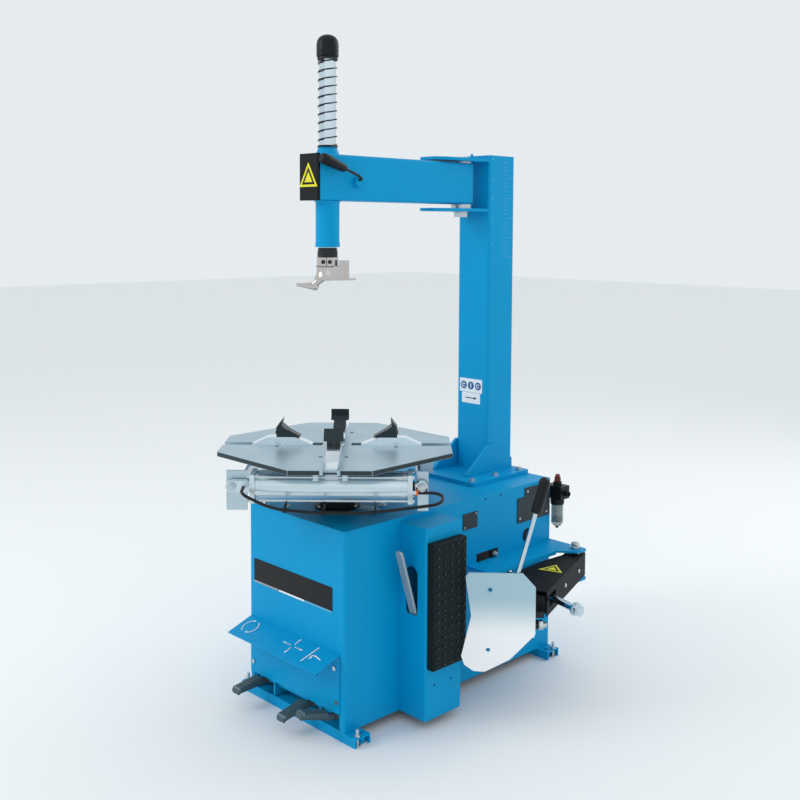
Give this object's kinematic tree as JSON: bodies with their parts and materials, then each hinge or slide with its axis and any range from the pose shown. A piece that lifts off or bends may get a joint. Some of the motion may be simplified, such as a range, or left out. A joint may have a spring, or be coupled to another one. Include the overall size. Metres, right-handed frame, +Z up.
{
  "type": "tyre changer",
  "caption": "Floor-standing tyre changer: cabinet with foot pedals, octagonal turntable with four jaws, column with swing arm and sprung hex shaft, side bead breaker.",
  "frame": {"origin": "centre of the four floor-anchor holes, on the floor plane", "axes": "+Z up; +X towards the bead breaker side; -Y towards the operator and the pedals, so +Y is the column side"},
  "size_m": [0.9929, 1.1376, 1.867],
  "materials": {
    "body_paint": "gloss",
    "bracket_paint": "satin",
    "table_steel": "satin",
    "dark_steel": "satin",
    "slide_steel": "satin",
    "jaw_steel": "satin",
    "cylinder_alloy": "satin",
    "bright_chrome": "polished",
    "fastener_zinc": "satin",
    "black_plastic": "matte",
    "pedal_black": "satin",
    "knob_red": "matte",
    "bowl_clear": "gloss",
    "pad_rubber": "matte",
    "hose_black": "satin",
    "cast_grey": "satin",
    "head_steel": "polished"
  },
  "bodies": {
    "frame": {"cabinet_shell": "body_paint", "front_cover": "body_paint", "rear_cover": "body_paint", "feet": "body_paint", "pedal_guard": "body_paint", "frame_bolts": "fastener_zinc", "pad_box": "body_paint", "bead_pad": "pad_rubber", "side_plates": "bracket_paint", "pedal_frame": "body_paint", "pedal_valves": "cast_grey", "gearbox": "cast_grey", "rotary_union": "cast_grey", "motor": "cast_grey", "drive_belt": "pad_rubber", "column": "body_paint", "arm_pivot": "fastener_zinc", "bead_bracket": "body_paint", "bead_pins": "fastener_zinc", "air_unit_body": "black_plastic", "air_unit_bowl": "bowl_clear"},
    "table": {"table_plate": "table_steel", "table_hub": "dark_steel"},
    "cam": {"cam_plate": "dark_steel"},
    "slide_right": {"jaw_slide_right": "slide_steel", "jaw_right": "jaw_steel", "clamp_ram_front": "bright_chrome", "clamp_barrel_back": "cylinder_alloy", "clamp_hose_back": "hose_black"},
    "slide_back": {"jaw_slide_back": "slide_steel", "jaw_back": "jaw_steel"},
    "slide_left": {"jaw_slide_left": "slide_steel", "jaw_left": "jaw_steel", "clamp_barrel_front": "cylinder_alloy", "clamp_ram_back": "bright_chrome", "clamp_hose_front": "hose_black"},
    "slide_front": {"jaw_slide_front": "slide_steel", "jaw_front": "jaw_steel"},
    "worm_pulley": {"gearbox_pulley": "cast_grey"},
    "drive_pulley": {"motor_pulley": "cast_grey"},
    "arm": {"swing_arm": "body_paint", "arm_end_cover": "black_plastic"},
    "lock": {"lock_lever": "black_plastic"},
    "shaft": {"hex_shaft": "bright_chrome", "shaft_collar": "fastener_zinc", "top_knob": "black_plastic", "mount_head": "head_steel", "return_spring": "fastener_zinc"},
    "pedal_left": {"pedal_turn": "pedal_black"},
    "pedal_middle": {"pedal_clamp": "pedal_black"},
    "pedal_right": {"pedal_bead": "pedal_black"},
    "breaker_arm": {"bead_arm": "bracket_paint", "bead_arm_cover": "black_plastic"},
    "breaker_cylinder": {"bead_cylinder": "cast_grey"},
    "breaker_ram": {"bead_ram": "bright_chrome"},
    "blade": {"bead_blade": "table_steel", "blade_handle": "bright_chrome"},
    "lever": {"tyre_lever": "bright_chrome"},
    "regulator": {"regulator_knob": "knob_red"}
  },
  "joints": [
    {"name": "table_spin", "type": "hinge", "parent": "frame", "child": "table", "pos_m": [0, -0.278, 0.7], "axis": [0, 0, 1], "continuous": true},
    {"name": "cam_turn", "type": "hinge", "parent": "table", "child": "cam", "pos_m": [0, -0.278, 0.695], "axis": [0, 0, 1], "range_deg": [0, 46]},
    {"name": "slide_right_travel", "type": "slide", "parent": "table", "child": "slide_right", "axis": [0.6984, 0.7157, 0], "range_m": [0, 0.08]},
    {"name": "slide_back_travel", "type": "slide", "parent": "table", "child": "slide_back", "axis": [-0.7157, 0.6984, 0], "range_m": [0, 0.08]},
    {"name": "slide_left_travel", "type": "slide", "parent": "table", "child": "slide_left", "axis": [-0.6984, -0.7157, 0], "range_m": [0, 0.08]},
    {"name": "slide_front_travel", "type": "slide", "parent": "table", "child": "slide_front", "axis": [0.7157, -0.6984, 0], "range_m": [0, 0.08]},
    {"name": "worm_pulley_spin", "type": "hinge", "parent": "frame", "child": "worm_pulley", "pos_m": [0, -0.113, 0.47], "axis": [0, 1, 0], "continuous": true},
    {"name": "drive_pulley_spin", "type": "hinge", "parent": "frame", "child": "drive_pulley", "pos_m": [0, -0.113, 0.25], "axis": [0, 1, 0], "continuous": true},
    {"name": "arm_swing", "type": "hinge", "parent": "frame", "child": "arm", "pos_m": [-0.018, 0.25, 1.4785], "axis": [0, 0, 1], "range_deg": [-45, 90]},
    {"name": "lock_turn", "type": "hinge", "parent": "arm", "child": "lock", "pos_m": [0.022, -0.225, 1.468], "axis": [1, 0, 0], "range_deg": [-20, 35]},
    {"name": "shaft_slide", "type": "slide", "parent": "arm", "child": "shaft", "axis": [0, 0, 1], "range_m": [-0.2, 0], "stiffness_N_per_m": 400, "springref_m": 0.25, "deforming": ["return_spring"]},
    {"name": "pedal_left_press", "type": "hinge", "parent": "frame", "child": "pedal_left", "pos_m": [-0.146, -0.408, 0.056], "axis": [1, 0, 0], "range_deg": [-12, 12], "stiffness_Nm_per_rad": 25},
    {"name": "pedal_middle_press", "type": "hinge", "parent": "frame", "child": "pedal_middle", "pos_m": [0.056, -0.408, 0.056], "axis": [1, 0, 0], "range_deg": [-12, 12], "stiffness_Nm_per_rad": 25},
    {"name": "pedal_right_press", "type": "hinge", "parent": "frame", "child": "pedal_right", "pos_m": [0.16, -0.408, 0.056], "axis": [1, 0, 0], "range_deg": [0, 15], "stiffness_Nm_per_rad": 20, "springref_deg": -5.73},
    {"name": "breaker_arm_swing", "type": "hinge", "parent": "frame", "child": "breaker_arm", "pos_m": [0.322, 0.405, 0.3], "axis": [0, 0, 1], "range_deg": [0, 15]},
    {"name": "breaker_cylinder_swivel", "type": "hinge", "parent": "frame", "child": "breaker_cylinder", "pos_m": [-0.04, 0.235, 0.321], "axis": [0, 0, 1], "range_deg": [0, 5.6]},
    {"name": "breaker_ram_slide", "type": "slide", "parent": "breaker_cylinder", "child": "breaker_ram", "axis": [0.9713, -0.2377, 0], "range_m": [-0.08, 0]},
    {"name": "blade_tilt", "type": "hinge", "parent": "breaker_arm", "child": "blade", "pos_m": [0.46954, 0.05803, 0.262], "axis": [0.7314, 0.682, 0], "range_deg": [-8, 10]},
    {"name": "tyre_lever_lift", "type": "slide", "parent": "frame", "child": "lever", "axis": [0, -0.3017, 0.9534], "range_m": [0, 0.06]},
    {"name": "regulator_turn", "type": "hinge", "parent": "frame", "child": "regulator", "pos_m": [0.212, 0.458, 0.55], "axis": [0, 0, 1], "range_deg": [-150, 150]}
  ],
  "couplings": [
    {"joint": "slide_back_travel", "follows": "slide_right_travel", "ratio": 1},
    {"joint": "slide_left_travel", "follows": "slide_right_travel", "ratio": 1},
    {"joint": "slide_front_travel", "follows": "slide_right_travel", "ratio": 1},
    {"joint": "cam_turn", "follows": "slide_right_travel", "rad_per_m": 10},
    {"joint": "worm_pulley_spin", "follows": "table_spin", "ratio": 40},
    {"joint": "drive_pulley_spin", "follows": "table_spin", "ratio": 82.667},
    {"joint": "breaker_cylinder_swivel", "follows": "breaker_arm_swing", "ratio": 0.3686}
  ]
}
